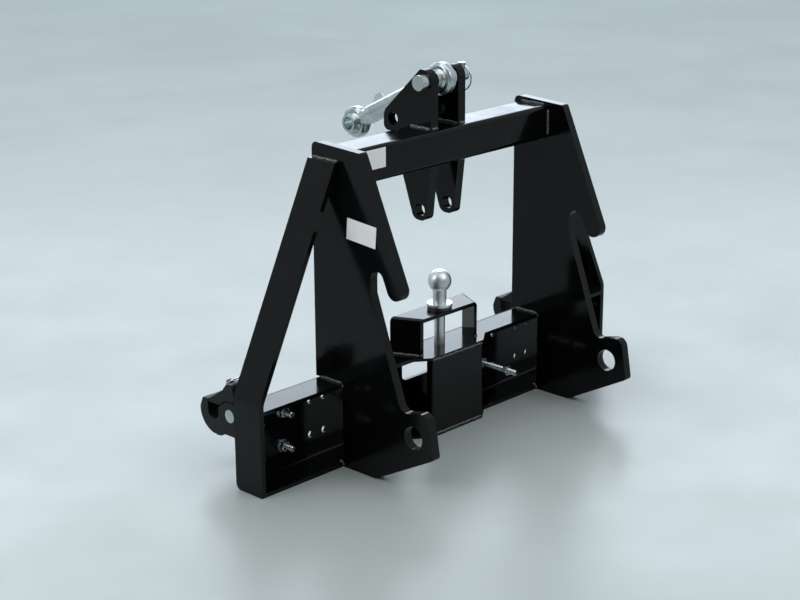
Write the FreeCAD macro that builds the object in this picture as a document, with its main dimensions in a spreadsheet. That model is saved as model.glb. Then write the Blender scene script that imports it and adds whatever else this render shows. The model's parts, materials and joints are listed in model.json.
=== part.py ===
import FreeCAD, Part
import math
import os
import re

import Sketcher

# Three point quick hitch: a loader-side frame with two side plates, a channel
# beam with bolted catch hooks, an upper tube with the top-link bracket, and a
# tow ball. Millimetres. X to the right, Y to the rear, Z up. Every piece is drawn
# from the middle of the frame, at the rear face of the lower beam, on the floor.
# At the end all are moved together so that the origin is the middle of the depth.

os.makedirs("parts", exist_ok=True)
doc = FreeCAD.newDocument("QuickHitch")

SIZES = [
    # where the library's origin lies in these drawings: the middle of the whole depth
    ("origin_y", -47.1),
    # side plates
    ("plate_inner_x", 281), ("plate_t", 18), ("plate_top_z", 632),
    ("front_lean", 23.8), ("plate_front_y", -127), ("plate_front_z", 626.5),
    ("slot_y", -167), ("slot_z", 396), ("slot_r", 16.5), ("tongue_drop", 21.5),
    ("full_round", 0.98), ("slot_rear_z", 366), ("body_front_y", -227), ("foot_notch_z", 151),
    ("foot_top_y", -293.5), ("foot_top_z", 167), ("foot_low_y", -308.5),
    ("foot_low_z", 79.5), ("heel_y", -158.7), ("foot_hole_y", -257),
    ("foot_hole_z", 110), ("foot_hole_r", 22.5), ("corner_r", 20), ("small_r", 8),
    ("plate_corner_r", 12), ("over", 1),
    # lower beam
    ("beam_half", 500), ("beam_depth", 72), ("beam_low_z", 0), ("beam_high_z", 170),
    ("beam_t", 8), ("beam_bend_r", 14), ("window_half", 68), ("window_low_z", 96),
    ("window_high_z", 146), ("window_r", 11),
    # bolt columns and catch hook places
    ("near_base_x", 250), ("base_x", 438), ("bolt_pitch", 76), ("bolt_low_z", 57),
    ("bolt_high_z", 127), ("bolt_r", 6.35), ("bolt_clearance", 0.65), ("thread_gap", 0.05),
    ("nut_flats", 19), ("nut_t", 11), ("washer_r", 12.5), ("washer_t", 2.5), ("stud_end", 19),
    # braces
    ("brace_t", 10), ("brace_top_z", 602), ("brace_bend_z", 182), ("brace_bend_r", 22),
    ("brace_heel_r", 13), ("brace_lip", 1),
    # upper beam
    ("tube_front_y", -89), ("tube_depth", 80), ("tube_low_z", 551.5), ("tube_high_z", 621.5),
    ("tube_wall", 6), ("tube_r", 10),
    # top bracket
    ("bracket_x", 29), ("bracket_t", 20), ("bracket_front_y", -70), ("pin_y", -52),
    ("pin_z", 712), ("bracket_front_r", 24), ("bracket_head", 23.5), ("lobe_y", 32),
    ("lobe_z", 629), ("lobe_r", 25), ("lobe_top_r", 22.5), ("lobe_low_r", 12.5),
    ("bracket_crown_y", -41), ("bracket_crown_r", 11), ("lug_y", -40), ("lug_z", 457), ("lug_drop", 21),
    ("lug_half", 16.8), ("lug_front_r", 14.7), ("lug_rear_r", 17.8),
    ("bracket_hole_r", 13), ("neck_y", 23), ("bracket_neck_r", 12), ("waist_y", 4.8),
    ("waist_z", 518), ("waist_r", 40), ("lug_front_z", 548),
    # top-link pin and its linch pin
    ("pin_r", 12.7), ("pin_head_r", 15), ("pin_head", 18), ("pin_tail_x", 68),
    ("pin_gap", 0.3), ("linch_x", 58), ("linch_r", 5), ("linch_low", 18), ("linch_head_r", 8),
    ("linch_head", 11), ("linch_sit", 0.3), ("linch_ring_r", 25), ("ring_wire_r", 1.5),
    ("ring_bore_gap", 0.9), ("linch_bore_r", 2.9), ("linch_ring_lift", 0.8),
    # top link
    ("link_length", 262), ("link_lean", 27), ("ball_r", 24), ("ball_width", 51),
    ("ball_shoulder_r", 17.5), ("ball_gap", 0.3), ("eye_r", 32), ("eye_width", 24),
    ("eye_face_r", 27), ("eye_rim", 14), ("neck_r", 16), ("neck_start", 24), ("neck_end", 44),
    ("rod_r", 13), ("rod_gap", 0.4), ("rod_show", 10), ("rod_reach", 66), ("barrel_r", 19),
    ("lock_t", 17), ("lock_gap", 0.6), ("lock_room", 2.4), ("wing_t", 5), ("wing_turn", 40),
    ("wing_height", 28), ("wing_long", 41), ("wing_top", 16), ("wing_lean", 1), ("wing_gap", 1),
    ("wing_root_r", 15), ("wing_back_r", 9), ("wing_tip_r", 5),
    # tow plate, ball bracket and tow ball
    ("tow_front_y", -99), ("tow_t", 15), ("tow_half", 76), ("tie_half", 111.5), ("tie_t", 6),
    ("tow_edge_r", 5), ("stand_front_y", -74), ("stand_rear_y", -17), ("stand_front_half", 84),
    ("stand_rear_half", 111.5), ("stand_height", 75), ("stand_t", 8), ("stand_bend_r", 10),
    ("tow_ball_y", -48), ("tow_ball_z", 303), ("tow_ball_r", 23.8), ("tow_ball_flat", 21.6),
    ("tow_neck_r", 14), ("tow_collar_r", 26), ("tow_collar_t", 5), ("tow_washer_r", 25),
    ("tow_washer_t", 3.5), ("tow_shank_r", 11), ("tow_hole_gap", 0.5), ("tow_nut_flats", 32),
    ("tow_nut_t", 18), ("tow_shank_end", 7),
    # stop studs
    ("stop_x", 169), ("stop_z", 75), ("stop_r", 6.35), ("stop_front_y", -110), ("stop_gap", 0.3),
    ("stop_nut_flats", 19), ("stop_nut_t", 11), ("stop_tip", 21),
    # catch hooks
    ("hook_offset", 7), ("hook_width", 60), ("cheek_t", 8), ("base_side", 18), ("base_t", 15),
    ("base_margin", 14), ("seat_y", 118), ("seat_z", 110), ("seat_r", 15), ("seat_wall", 7),
    ("cheek_low_z", 71), ("cheek_mid_y", 88), ("cup_front_y", 97), ("cup_low_z", 64),
    ("cup_edge_r", 12), ("cup_rear_y", 156.5), ("cup_r", 46.5), ("nose_tip_z", 112),
    ("nose_y", 148.5), ("nose_z", 132), ("nose_r", 3),
    ("cheek_r", 28), ("cheek_back", 150), ("cheek_rear_z", 118),
    ("pivot_y", 72), ("pivot_z", 111), ("pivot_r", 13), ("pivot_gap", 0.05),
    ("pivot_recess", 1),
    # the latch's cap lies over the cheeks, between two angles seen from its pivot
    ("latch_gap", 3), ("hub_r", 16.5), ("latch_seat_gap", 1.5), ("latch_tip_gap", 1.5),
    ("cap_gap", 1.5), ("cap_front", 51), ("cap_rear", 112), ("cap_edge_r", 2), ("cap_top_r", 5),
    ("cap_tip_z", 132.4), ("cap_slope_y", 89.2), ("cap_slope_z", 161), ("cap_crown_y", 79),
    ("cap_crown_z", 174.5), ("cap_back_y", 61), ("cap_back_z", 178), ("cap_heel_y", 56),
    ("cap_heel_z", 150), ("eye_lug_y", 100), ("eye_lug_z", 164), ("eye_lug_r", 8),
    ("eye_lug_t", 8), ("pull_ring_r", 16), ("pull_wire_r", 2), ("pull_ring_lean", 34),
    # blank labels
    ("label_t", 0.4), ("side_label_long", 75), ("side_label_high", 41), ("side_label_y", -128),
    ("side_label_z", 478), ("side_label_tilt", 4.5), ("beam_label_x", -231),
    ("beam_label_long", 74), ("beam_label_z", 597), ("beam_label_high", 38),
]

sheet = doc.addObject("Spreadsheet::Sheet", "Sizes")
for row, (alias, size) in enumerate(SIZES, start=1):
    sheet.set("A%d" % row, alias)
    sheet.set("B%d" % row, str(size))
    sheet.setAlias("B%d" % row, alias)
doc.recompute()

ALIASES = {alias for alias, _ in SIZES}
SUB_PARTS = []


def bound(text):
    """An expression on the sheet: each alias gets the sheet's name in front."""
    return re.sub(r"[a-z_][a-z_0-9]*", lambda word: "Sizes." + word.group(0)
                  if word.group(0) in ALIASES else word.group(0), str(text))


def value(text):
    """What an expression is worth now, as a plain number."""
    answer = sheet.evalExpression(bound(text))
    return float(getattr(answer, "Value", answer))


def tie(thing, prop, text):
    thing.setExpression(prop, bound(text))


def place(thing, x="0", y="0", z="0"):
    for axis, text in zip("xyz", (x, y, z)):
        tie(thing, "Placement.Base." + axis, text)


def turn(thing, axis, angle):
    thing.Placement = FreeCAD.Placement(FreeCAD.Vector(), FreeCAD.Rotation(axis, 1))
    tie(thing, "Placement.Rotation.Angle", angle)


def keep(thing, label):
    """Marks an object as a finished sub-part, whose label names its file."""
    thing.Label = label
    SUB_PARTS.append(thing)
    return thing


# --- sketches -------------------------------------------------------------

def new_sketch(body, plane):
    sketch = body.newObject("Sketcher::SketchObject", body.Name + "Sketch")
    face = [f for f in body.Origin.OriginFeatures if f.Role == plane + "_Plane"][0]
    sketch.AttachmentSupport = [(face, "")]
    sketch.MapMode = "FlatFace"
    return sketch


def datum(sketch, kind, text, *where):
    index = sketch.addConstraint(Sketcher.Constraint(kind, *where, value(text)))
    tie(sketch, "Constraints[%d]" % index, text)


def fix_point(sketch, geometry, end, x, y):
    datum(sketch, "DistanceX", x, -1, 1, geometry, end)
    datum(sketch, "DistanceY", y, -1, 1, geometry, end)


def outline(sketch, corners):
    """A closed outline through corners (x, y) or, rounded, (x, y, radius)."""
    points = [FreeCAD.Vector(value(c[0]), value(c[1]), 0) for c in corners]
    count = len(corners)
    starts, ends, arcs = [], [], []
    for i, corner in enumerate(corners):
        if len(corner) < 3:
            starts.append(points[i])
            ends.append(points[i])
            arcs.append(None)
            continue
        before = (points[i - 1] - points[i]).normalize()
        after = (points[(i + 1) % count] - points[i]).normalize()
        half = before.getAngle(after) / 2
        radius = value(corner[2])
        reach = radius / math.tan(half)
        middle = (before + after).normalize()
        centre = points[i] + middle * (radius / math.sin(half))
        ends.append(points[i] + before * reach)
        starts.append(points[i] + after * reach)
        left_turn = before.cross(after).z < 0
        first, last = (ends[i], starts[i]) if left_turn else (starts[i], ends[i])
        circle = Part.Circle(centre, FreeCAD.Vector(0, 0, 1), radius)
        arcs.append((Part.ArcOfCircle(circle, circle.parameter(first), circle.parameter(last)),
                     1 if left_turn else 2))
    lines = [sketch.addGeometry(Part.LineSegment(starts[i], ends[(i + 1) % count]), False)
             for i in range(count)]
    for i, corner in enumerate(corners):
        line_in, line_out = lines[i - 1], lines[i]
        if arcs[i] is None:
            sketch.addConstraint(Sketcher.Constraint("Coincident", line_in, 2, line_out, 1))
            fix_point(sketch, line_out, 1, corner[0], corner[1])
            continue
        curve, near_end = arcs[i]
        arc = sketch.addGeometry(curve, False)
        sketch.addConstraint(Sketcher.Constraint("Tangent", line_in, 2, arc, near_end))
        sketch.addConstraint(Sketcher.Constraint("Tangent", line_out, 1, arc, 3 - near_end))
        datum(sketch, "Radius", corner[2], arc)
        mark = sketch.addGeometry(Part.Point(points[i]), True)
        sketch.addConstraint(Sketcher.Constraint("PointOnObject", mark, 1, line_in))
        sketch.addConstraint(Sketcher.Constraint("PointOnObject", mark, 1, line_out))
        fix_point(sketch, mark, 1, corner[0], corner[1])


def ring(sketch, x, y, radius):
    """A full circle in a sketch."""
    circle = Part.Circle(FreeCAD.Vector(value(x), value(y), 0), FreeCAD.Vector(0, 0, 1),
                         value(radius))
    index = sketch.addGeometry(circle, False)
    datum(sketch, "Radius", radius, index)
    fix_point(sketch, index, 3, x, y)


def new_body(name):
    return doc.addObject("PartDesign::Body", name)


def pad(body, sketch, length):
    """Grows a sketch both ways, to this whole length."""
    feature = body.newObject("PartDesign::Pad", body.Name + "Pad")
    feature.Profile = sketch
    feature.SideType = "Symmetric"
    tie(feature, "Length", length)
    doc.recompute()
    return feature


def pocket(body, sketch, length=None):
    """Cuts a sketch both ways, to this whole length or right through."""
    before = body.Shape.Volume
    feature = body.newObject("PartDesign::Pocket", body.Name + "Pocket")
    feature.Profile = sketch
    feature.SideType = "Symmetric"
    if length is None:
        feature.Type = "ThroughAll"
    else:
        tie(feature, "Length", length)
    doc.recompute()
    if body.Shape.Volume > before - 1:
        raise RuntimeError(body.Label + ": a pocket cut nothing")
    return feature


def plate(label, plane, corners, low, high, holes=()):
    """A body with one outline, padded from low to high along the plane's normal."""
    body = new_body(label)
    sketch = new_sketch(body, plane)
    outline(sketch, corners)
    for hole in holes:
        ring(sketch, *hole)
    pad(body, sketch, "(%s) - (%s)" % (high, low))
    middle = "((%s) + (%s)) / 2" % (low, high)
    place(body, **{{"YZ": "x", "XZ": "y", "XY": "z"}[plane]: middle})
    return keep(body, label)


def fillet(body, radius, *spots):
    """Rounds the edges of a body whose middles lie nearest to these spots."""
    doc.recompute()
    base = body.Tip
    names = []
    for spot in spots:
        point = FreeCAD.Vector(*[value(text) for text in spot])
        gaps = [edge.CenterOfMass.distanceToPoint(point) for edge in base.Shape.Edges]
        names.append("Edge%d" % (gaps.index(min(gaps)) + 1))
    feature = body.newObject("PartDesign::Fillet", body.Name + "Fillet")
    feature.Base = (base, names)
    tie(feature, "Radius", radius)
    doc.recompute()
    return feature


# --- primitives -----------------------------------------------------------

AXES = {"x": FreeCAD.Rotation(FreeCAD.Vector(0, 1, 0), 90),
        "y": FreeCAD.Rotation(FreeCAD.Vector(1, 0, 0), -90),
        "z": FreeCAD.Rotation()}


def rod(axis, radius, low, high, x="0", y="0", z="0"):
    """A cylinder along an axis from low to high, through the point (x, y, z)."""
    cylinder = doc.addObject("Part::Cylinder", "Rod")
    cylinder.Placement = FreeCAD.Placement(FreeCAD.Vector(), AXES[axis])
    tie(cylinder, "Radius", radius)
    tie(cylinder, "Height", "(%s) - (%s)" % (high, low))
    base = {"x": x, "y": y, "z": z}
    base[axis] = "(%s) + (%s)" % (base[axis], low)
    place(cylinder, **base)
    return cylinder


def sphere(radius, x="0", y="0", z="0", poles="z"):
    """A ball, with its poles along an axis where they fall outside the finished piece."""
    ball = doc.addObject("Part::Sphere", "Ball")
    ball.Placement = FreeCAD.Placement(FreeCAD.Vector(), AXES[poles])
    tie(ball, "Radius", radius)
    place(ball, x, y, z)
    return ball


def box(x0, x1, y0, y1, z0, z1):
    block = doc.addObject("Part::Box", "Block")
    for prop, low, high in (("Length", x0, x1), ("Width", y0, y1), ("Height", z0, z1)):
        tie(block, prop, "(%s) - (%s)" % (high, low))
    place(block, x0, y0, z0)
    return block


def hexagon(axis, flats, low, high, x="0", y="0", z="0"):
    """A hexagonal prism along an axis, with this distance across its flats."""
    prism = doc.addObject("Part::Prism", "Hexagon")
    prism.Polygon = 6
    prism.Placement = FreeCAD.Placement(FreeCAD.Vector(), AXES[axis])
    tie(prism, "Circumradius", "(%s) / sqrt(3)" % flats)
    tie(prism, "Height", "(%s) - (%s)" % (high, low))
    base = {"x": x, "y": y, "z": z}
    base[axis] = "(%s) + (%s)" % (base[axis], low)
    place(prism, **base)
    return prism


def cone(axis, low_radius, high_radius, low, high, y="0"):
    taper = doc.addObject("Part::Cone", "Cone")
    taper.Placement = FreeCAD.Placement(FreeCAD.Vector(), AXES[axis])
    tie(taper, "Radius1", low_radius)
    tie(taper, "Radius2", high_radius)
    tie(taper, "Height", "(%s) - (%s)" % (high, low))
    place(taper, x=low, y=y)
    return taper


def torus(radius, wire):
    hoop = doc.addObject("Part::Torus", "Hoop")
    tie(hoop, "Radius1", radius)
    tie(hoop, "Radius2", wire)
    return hoop


def fuse(*pieces):
    joined = doc.addObject("Part::MultiFuse", "Fuse")
    joined.Shapes = list(pieces)
    return joined


def cut(base, *tools):
    result = doc.addObject("Part::Cut", "Cut")
    result.Base = base
    result.Tool = tools[0] if len(tools) == 1 else fuse(*tools)
    return result


def group(label, pieces):
    """Separate like solids kept as one node."""
    bundle = doc.addObject("Part::Compound", label)
    bundle.Links = list(pieces)
    return keep(bundle, label)


# --- side plates ----------------------------------------------------------

def side_plate(label, low, high):
    lean = "tan(front_lean)"
    tip_z = "(slot_z - tongue_drop)"
    front_at_slot = "(plate_front_y - (plate_front_z - slot_z) * %s)" % lean
    rear_at_slot = "(slot_y - slot_r / cos(front_lean))"
    front_at_tip = "(%s - tongue_drop * %s)" % (front_at_slot, lean)
    rear_at_tip = "(%s - tongue_drop * %s)" % (rear_at_slot, lean)
    tongue = "((%s - %s) * cos(front_lean))" % (rear_at_slot, front_at_slot)
    square = "%s * sin(front_lean)" % tongue
    slot_top = "(slot_z + slot_r)"
    corners = [
        ("0", "beam_high_z"),
        ("0", "plate_top_z", "plate_corner_r"),
        ("plate_front_y", "plate_front_z", "small_r"),
        (front_at_tip, tip_z, "%s * full_round / 2" % tongue),
        ("%s - %s * sin(front_lean)" % (rear_at_tip, square),
         "%s - %s * cos(front_lean)" % (tip_z, square), "%s * full_round / 2" % tongue),
        ("%s + slot_r * %s" % (rear_at_slot, lean), slot_top, "slot_r * full_round"),
        ("slot_y + slot_r", slot_top, "slot_r * full_round"),
        ("slot_y + slot_r", "slot_rear_z", "small_r"),
        ("body_front_y", "foot_notch_z", "corner_r"),
        ("foot_top_y", "foot_top_z", "corner_r"),
        ("foot_low_y", "foot_low_z", "small_r"),
        ("heel_y", "0", "small_r"),
        ("-beam_depth", "0"),
        ("-beam_depth", "beam_high_z"),
    ]
    return plate(label, "YZ", corners, low, high,
                 holes=[("foot_hole_y", "foot_hole_z", "foot_hole_r")])


# --- lower beam -----------------------------------------------------------

def lower_beam():
    """A channel open to the front, with its web at the rear."""
    body = new_body("channel")
    sketch = new_sketch(body, "YZ")
    inner_r = "beam_bend_r - beam_t"
    outline(sketch, [
        ("-beam_depth", "beam_low_z"),
        ("0", "beam_low_z", "beam_bend_r"),
        ("0", "beam_high_z", "beam_bend_r"),
        ("-beam_depth", "beam_high_z"),
        ("-beam_depth", "beam_high_z - beam_t"),
        ("-beam_t", "beam_high_z - beam_t", inner_r),
        ("-beam_t", "beam_low_z + beam_t", inner_r),
        ("-beam_depth", "beam_low_z + beam_t"),
    ])
    pad(body, sketch, "2 * beam_half")
    window = new_sketch(body, "XZ")
    outline(window, [
        ("-window_half", "window_low_z", "window_r"),
        ("window_half", "window_low_z", "window_r"),
        ("window_half", "window_high_z", "window_r"),
        ("-window_half", "window_high_z", "window_r"),
    ])
    pocket(body, window)
    holes = new_sketch(body, "XZ")
    # a hook base moved in by one pitch shares a column with the next place
    columns = ["near_base_x - bolt_pitch / 2", "near_base_x + bolt_pitch / 2",
               "base_x - bolt_pitch * 3 / 2", "base_x - bolt_pitch / 2",
               "base_x + bolt_pitch / 2"]
    for side in ("", "-"):
        for column in columns:
            for level in ("bolt_low_z", "bolt_high_z"):
                ring(holes, "%s(%s)" % (side, column), level, "bolt_r + bolt_clearance")
        ring(holes, "%s(stop_x)" % side, "stop_z", "stop_r + stop_gap")
    pocket(body, holes)
    shank_hole = rod("z", "tow_shank_r + tow_hole_gap", "beam_high_z - beam_t - over",
                     "beam_high_z + over", y="tow_ball_y")
    return keep(cut(body, shank_hole), "lower_beam")


# --- braces ---------------------------------------------------------------

def brace(label, side):
    """A strip from high on a side plate out to the beam's end, bent and run down."""
    body = new_body(label)
    sketch = new_sketch(body, "XZ")
    plate_x = "(plate_inner_x + plate_t)"
    rise = "(brace_top_z - brace_lip - brace_bend_z)"
    lean = "atan((beam_half - %s) / %s)" % (plate_x, rise)
    outer_bend = "brace_bend_z + brace_t * tan(%s / 2)" % lean
    flat_top = "%s - brace_lip * tan(%s) + brace_t / cos(%s)" % (plate_x, lean, lean)
    corners = [
        (plate_x, "brace_top_z - brace_lip"),
        (plate_x, "brace_top_z"),
        (flat_top, "brace_top_z"),
        ("beam_half + brace_t", outer_bend, "brace_bend_r + brace_t"),
        ("beam_half + brace_t", "beam_low_z"),
        ("beam_half", "beam_low_z"),
        ("beam_half", "brace_bend_z", "brace_bend_r"),
    ]
    outline(sketch, [("%s(%s)" % (side, c[0]),) + c[1:] for c in corners])
    pad(body, sketch, "beam_depth")
    tie(body, "Placement.Base.y", "-beam_depth / 2")
    fillet(body, "brace_heel_r",
           ("%s(beam_half + brace_t / 2)" % side, "beam_depth / 2", "beam_low_z"))
    return keep(body, label)


# --- upper beam and top bracket -------------------------------------------

def upper_beam():
    body = new_body("upper_beam")
    sketch = new_sketch(body, "YZ")
    rear = "(tube_front_y + tube_depth)"
    for wall, radius in (("0", "tube_r"), ("tube_wall", "tube_r - tube_wall")):
        outline(sketch, [
            ("tube_front_y + %s" % wall, "tube_low_z + %s" % wall, radius),
            ("%s - %s" % (rear, wall), "tube_low_z + %s" % wall, radius),
            ("%s - %s" % (rear, wall), "tube_high_z - %s" % wall, radius),
            ("tube_front_y + %s" % wall, "tube_high_z - %s" % wall, radius),
        ])
    pad(body, sketch, "2 * plate_inner_x")
    return keep(body, "upper_beam")


def top_bracket(label, low, high):
    """A plate that hooks round the tube from the rear, with three pin holes."""
    rear = "(tube_front_y + tube_depth)"
    head_top = "(pin_z + bracket_head)"
    lobe_x = "(lobe_y + lobe_r)"
    corners = [
        ("bracket_front_y", "tube_high_z"),
        ("bracket_front_y", head_top, "bracket_front_r"),
        ("bracket_crown_y", head_top, "bracket_crown_r"),
        (lobe_x, "lobe_z + lobe_r / 2", "lobe_top_r"),
        (lobe_x, "lobe_z - lobe_r", "lobe_low_r"),
        ("neck_y", "lobe_z - lobe_r", "bracket_neck_r"),
        ("waist_y", "waist_z", "waist_r"),
        ("lug_y + lug_half", "lug_z - lug_drop", "lug_rear_r"),
        ("lug_y - lug_half", "lug_z - lug_drop", "lug_front_r"),
        ("bracket_front_y", "lug_front_z"),
        ("bracket_front_y", "tube_low_z"),
        (rear, "tube_low_z"),
        (rear, "tube_high_z"),
    ]
    holes = [("pin_y", "pin_z", "bracket_hole_r"), ("lobe_y", "lobe_z", "bracket_hole_r"),
             ("lug_y", "lug_z", "bracket_hole_r")]
    return plate(label, "YZ", corners, low, high, holes)


def top_link_pin():
    outer = "bracket_x + bracket_t"
    shank = rod("x", "pin_r", "-(%s)" % outer, "pin_tail_x", y="pin_y", z="pin_z")
    head = rod("x", "pin_head_r", "-(%s) - pin_head" % outer, "-(%s)" % outer,
               y="pin_y", z="pin_z")
    bore = rod("z", "linch_r + pin_gap", "-2 * pin_r", "2 * pin_r", x="linch_x",
               y="pin_y", z="pin_z")
    return keep(cut(fuse(shank, head), bore), "top_link_pin")


def linch_pin():
    low = "(pin_r + linch_sit)"
    stem = rod("z", "linch_r", "-linch_low", low, x="linch_x", y="pin_y", z="pin_z")
    head = rod("z", "linch_head_r", low, "%s + linch_head" % low, x="linch_x", y="pin_y",
               z="pin_z")
    hole = rod("y", "linch_bore_r", "-2 * linch_head_r", "2 * linch_head_r", x="linch_x",
               z="pin_z + %s + linch_head / 2" % low, y="pin_y")
    return keep(cut(fuse(stem, head), hole), "linch_pin")


def linch_ring():
    hoop = torus("linch_ring_r", "ring_wire_r")
    hoop.Placement = FreeCAD.Placement(FreeCAD.Vector(), AXES["x"])
    hinge_z = "pin_z + pin_r + linch_sit + linch_head / 2"
    place(hoop, "linch_x", "pin_y", "%s + linch_ring_lift - linch_ring_r" % hinge_z)
    return keep(hoop, "linch_ring")


# --- top link -------------------------------------------------------------
# Each piece is made along +Y from the near ball's centre, then hung on the pin.

def hang(thing, label):
    turn(thing, FreeCAD.Vector(1, 0, 0), "-link_lean")
    place(thing, "0", "pin_y", "pin_z")
    return keep(thing, label)


def link_ball(label, at):
    ball = fuse(sphere("ball_r", y=at, poles="x"),
                rod("x", "ball_shoulder_r", "-ball_width / 2", "ball_width / 2", y=at))
    bore = rod("x", "pin_r + pin_gap", "-ball_width", "ball_width", y=at)
    return hang(cut(ball, bore), label)


def rod_end(label, at, way):
    """A forged eye round a ball, with a neck and a threaded rod into the barrel."""
    rim, side = "eye_rim / 2", "eye_width / 2"
    eye = fuse(rod("x", "eye_r", "-" + rim, rim, y=at),
               cone("x", "eye_r", "eye_face_r", rim, side, at),
               cone("x", "eye_face_r", "eye_r", "-" + side, "-" + rim, at))
    far = "(neck_end + rod_reach)"
    neck_span, rod_span = {
        "+": (("neck_start", "neck_end"), ("neck_start", far)),
        "-": (("-neck_end", "-neck_start"), ("-" + far, "-neck_start")),
    }[way]
    neck = rod("y", "neck_r", *neck_span, y=at)
    thread = rod("y", "rod_r", *rod_span, y=at)
    socket = sphere("ball_r + ball_gap", y=at, poles="x")
    return hang(cut(fuse(eye, neck, thread), socket), label)


BARREL_START = "(neck_end + rod_show)"
BARREL_END = "(link_length - neck_end - lock_room - lock_t - lock_gap)"


def barrel():
    sleeve = rod("y", "barrel_r", BARREL_START, BARREL_END)
    bore = rod("y", "rod_r + rod_gap", BARREL_START + " - over", BARREL_END + " + over")
    return hang(cut(sleeve, bore), "barrel")


def lock_nut():
    """A round nut against the barrel, with a bent-back wing to turn it by."""
    start = "(%s + lock_gap)" % BARREL_END
    end = "(%s + lock_t)" % start
    wing = new_body("wing")
    sketch = new_sketch(wing, "YZ")
    back, top = "barrel_r + wing_gap", "barrel_r + wing_height"
    outline(sketch, [
        (start, "wing_root_r"),
        (end, "wing_root_r"),
        ("%s - wing_lean" % end, top, "wing_tip_r"),
        ("%s - wing_lean - wing_top" % end, top, "wing_back_r"),
        ("%s - wing_long" % end, back),
        (start, back),
    ])
    pad(wing, sketch, "wing_t")
    turn(wing, FreeCAD.Vector(0, 1, 0), "wing_turn")
    nut = cut(rod("y", "barrel_r", start, end),
              rod("y", "rod_r + rod_gap", start + " - over", end + " + over"))
    return hang(fuse(nut, wing), "lock_nut")


# --- tow plate, ball bracket and tow ball ---------------------------------

def tow_front_plate():
    rear = "(tow_front_y + tow_t)"
    corners = [
        ("-tow_half", "tow_front_y", "tow_edge_r"),
        ("tow_half", "tow_front_y", "tow_edge_r"),
        ("tow_half", rear),
        ("-tow_half", rear),
    ]
    return plate("tow_front_plate", "XY", corners, "beam_low_z + tie_t", "beam_high_z - tie_t")


def tie_plate(label, low, high):
    corners = [
        ("-tow_half", "tow_front_y"),
        ("tow_half", "tow_front_y"),
        ("tie_half", "-beam_depth"),
        ("-tie_half", "-beam_depth"),
    ]
    return plate(label, "XY", corners, low, high)


def ball_bracket():
    """A bent stand: a flat top and two splayed legs that stand on the beam."""
    body = new_body("ball_bracket")
    sketch = new_sketch(body, "XY")
    outline(sketch, [
        ("-stand_front_half", "stand_front_y"),
        ("stand_front_half", "stand_front_y"),
        ("stand_rear_half", "stand_rear_y"),
        ("-stand_rear_half", "stand_rear_y"),
    ])
    ring(sketch, "0", "tow_ball_y", "tow_shank_r + tow_hole_gap")
    pad(body, sketch, "stand_height")
    inner = new_sketch(body, "XY")
    splay = "((stand_rear_half - stand_front_half) / (stand_rear_y - stand_front_y))"
    shift = "(stand_t * sqrt(1 + %s * %s))" % (splay, splay)
    front = "(stand_front_half - %s - over * %s)" % (shift, splay)
    rear = "(stand_rear_half - %s + over * %s)" % (shift, splay)
    outline(inner, [
        ("-(%s)" % front, "stand_front_y - over"),
        (front, "stand_front_y - over"),
        (rear, "stand_rear_y + over"),
        ("-(%s)" % rear, "stand_rear_y + over"),
    ])
    tie(inner, "AttachmentOffset.Base.z", "-stand_height / 2 - over")
    before = body.Shape.Volume
    hollow = body.newObject("PartDesign::Pocket", "StandHollow")
    hollow.Profile = inner
    hollow.Reversed = True
    tie(hollow, "Length", "stand_height - stand_t + over")
    doc.recompute()
    if body.Shape.Volume > before - 1:
        raise RuntimeError("the stand's hollow cut nothing")
    middle = ("(stand_front_half + stand_rear_half) / 2", "(stand_front_y + stand_rear_y) / 2")
    fillet(body, "stand_bend_r", (middle[0], middle[1], "stand_height / 2"),
           ("-(%s)" % middle[0], middle[1], "stand_height / 2"))
    tie(body, "Placement.Base.z", "beam_high_z + stand_height / 2")
    return keep(body, "ball_bracket")


def tow_ball():
    top = "(beam_high_z + stand_height)"
    collar_low = "%s + 2 * tow_washer_t" % top
    under = "beam_high_z - beam_t"
    ball = sphere("tow_ball_r", y="tow_ball_y", z="tow_ball_z")
    crown = box("-tow_ball_r", "tow_ball_r", "tow_ball_y - tow_ball_r", "tow_ball_y + tow_ball_r",
                "tow_ball_z + tow_ball_flat", "tow_ball_z + 2 * tow_ball_r")
    neck = rod("z", "tow_neck_r", collar_low, "tow_ball_z", y="tow_ball_y")
    collar = rod("z", "tow_collar_r", collar_low, "(%s) + tow_collar_t" % collar_low,
                 y="tow_ball_y")
    shank = rod("z", "tow_shank_r", "%s - tow_nut_t - tow_shank_end" % under, collar_low,
                y="tow_ball_y")
    return keep(cut(fuse(ball, neck, collar, shank), crown), "tow_ball")


def tow_washers():
    top = "(beam_high_z + stand_height)"
    rings = []
    for count in (0, 1):
        low = "%s + %d * tow_washer_t" % (top, count)
        disc = rod("z", "tow_washer_r", low, "%s + tow_washer_t" % low, y="tow_ball_y")
        bore = rod("z", "tow_shank_r + tow_hole_gap", "%s - over" % low,
                   "%s + tow_washer_t + over" % low, y="tow_ball_y")
        rings.append(cut(disc, bore))
    return group("tow_ball_washers", rings)


def tow_nut():
    high = "(beam_high_z - beam_t)"
    nut = hexagon("z", "tow_nut_flats", "%s - tow_nut_t" % high, high, y="tow_ball_y")
    bore = rod("z", "tow_shank_r + thread_gap", "%s - tow_nut_t - over" % high,
               "%s + over" % high, y="tow_ball_y")
    return keep(cut(nut, bore), "tow_ball_nut")


# --- stop studs -----------------------------------------------------------

def stop_stud(label, side):
    return keep(rod("y", "stop_r", "stop_front_y", "0", x="%s(stop_x)" % side, z="stop_z"),
                label)


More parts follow.
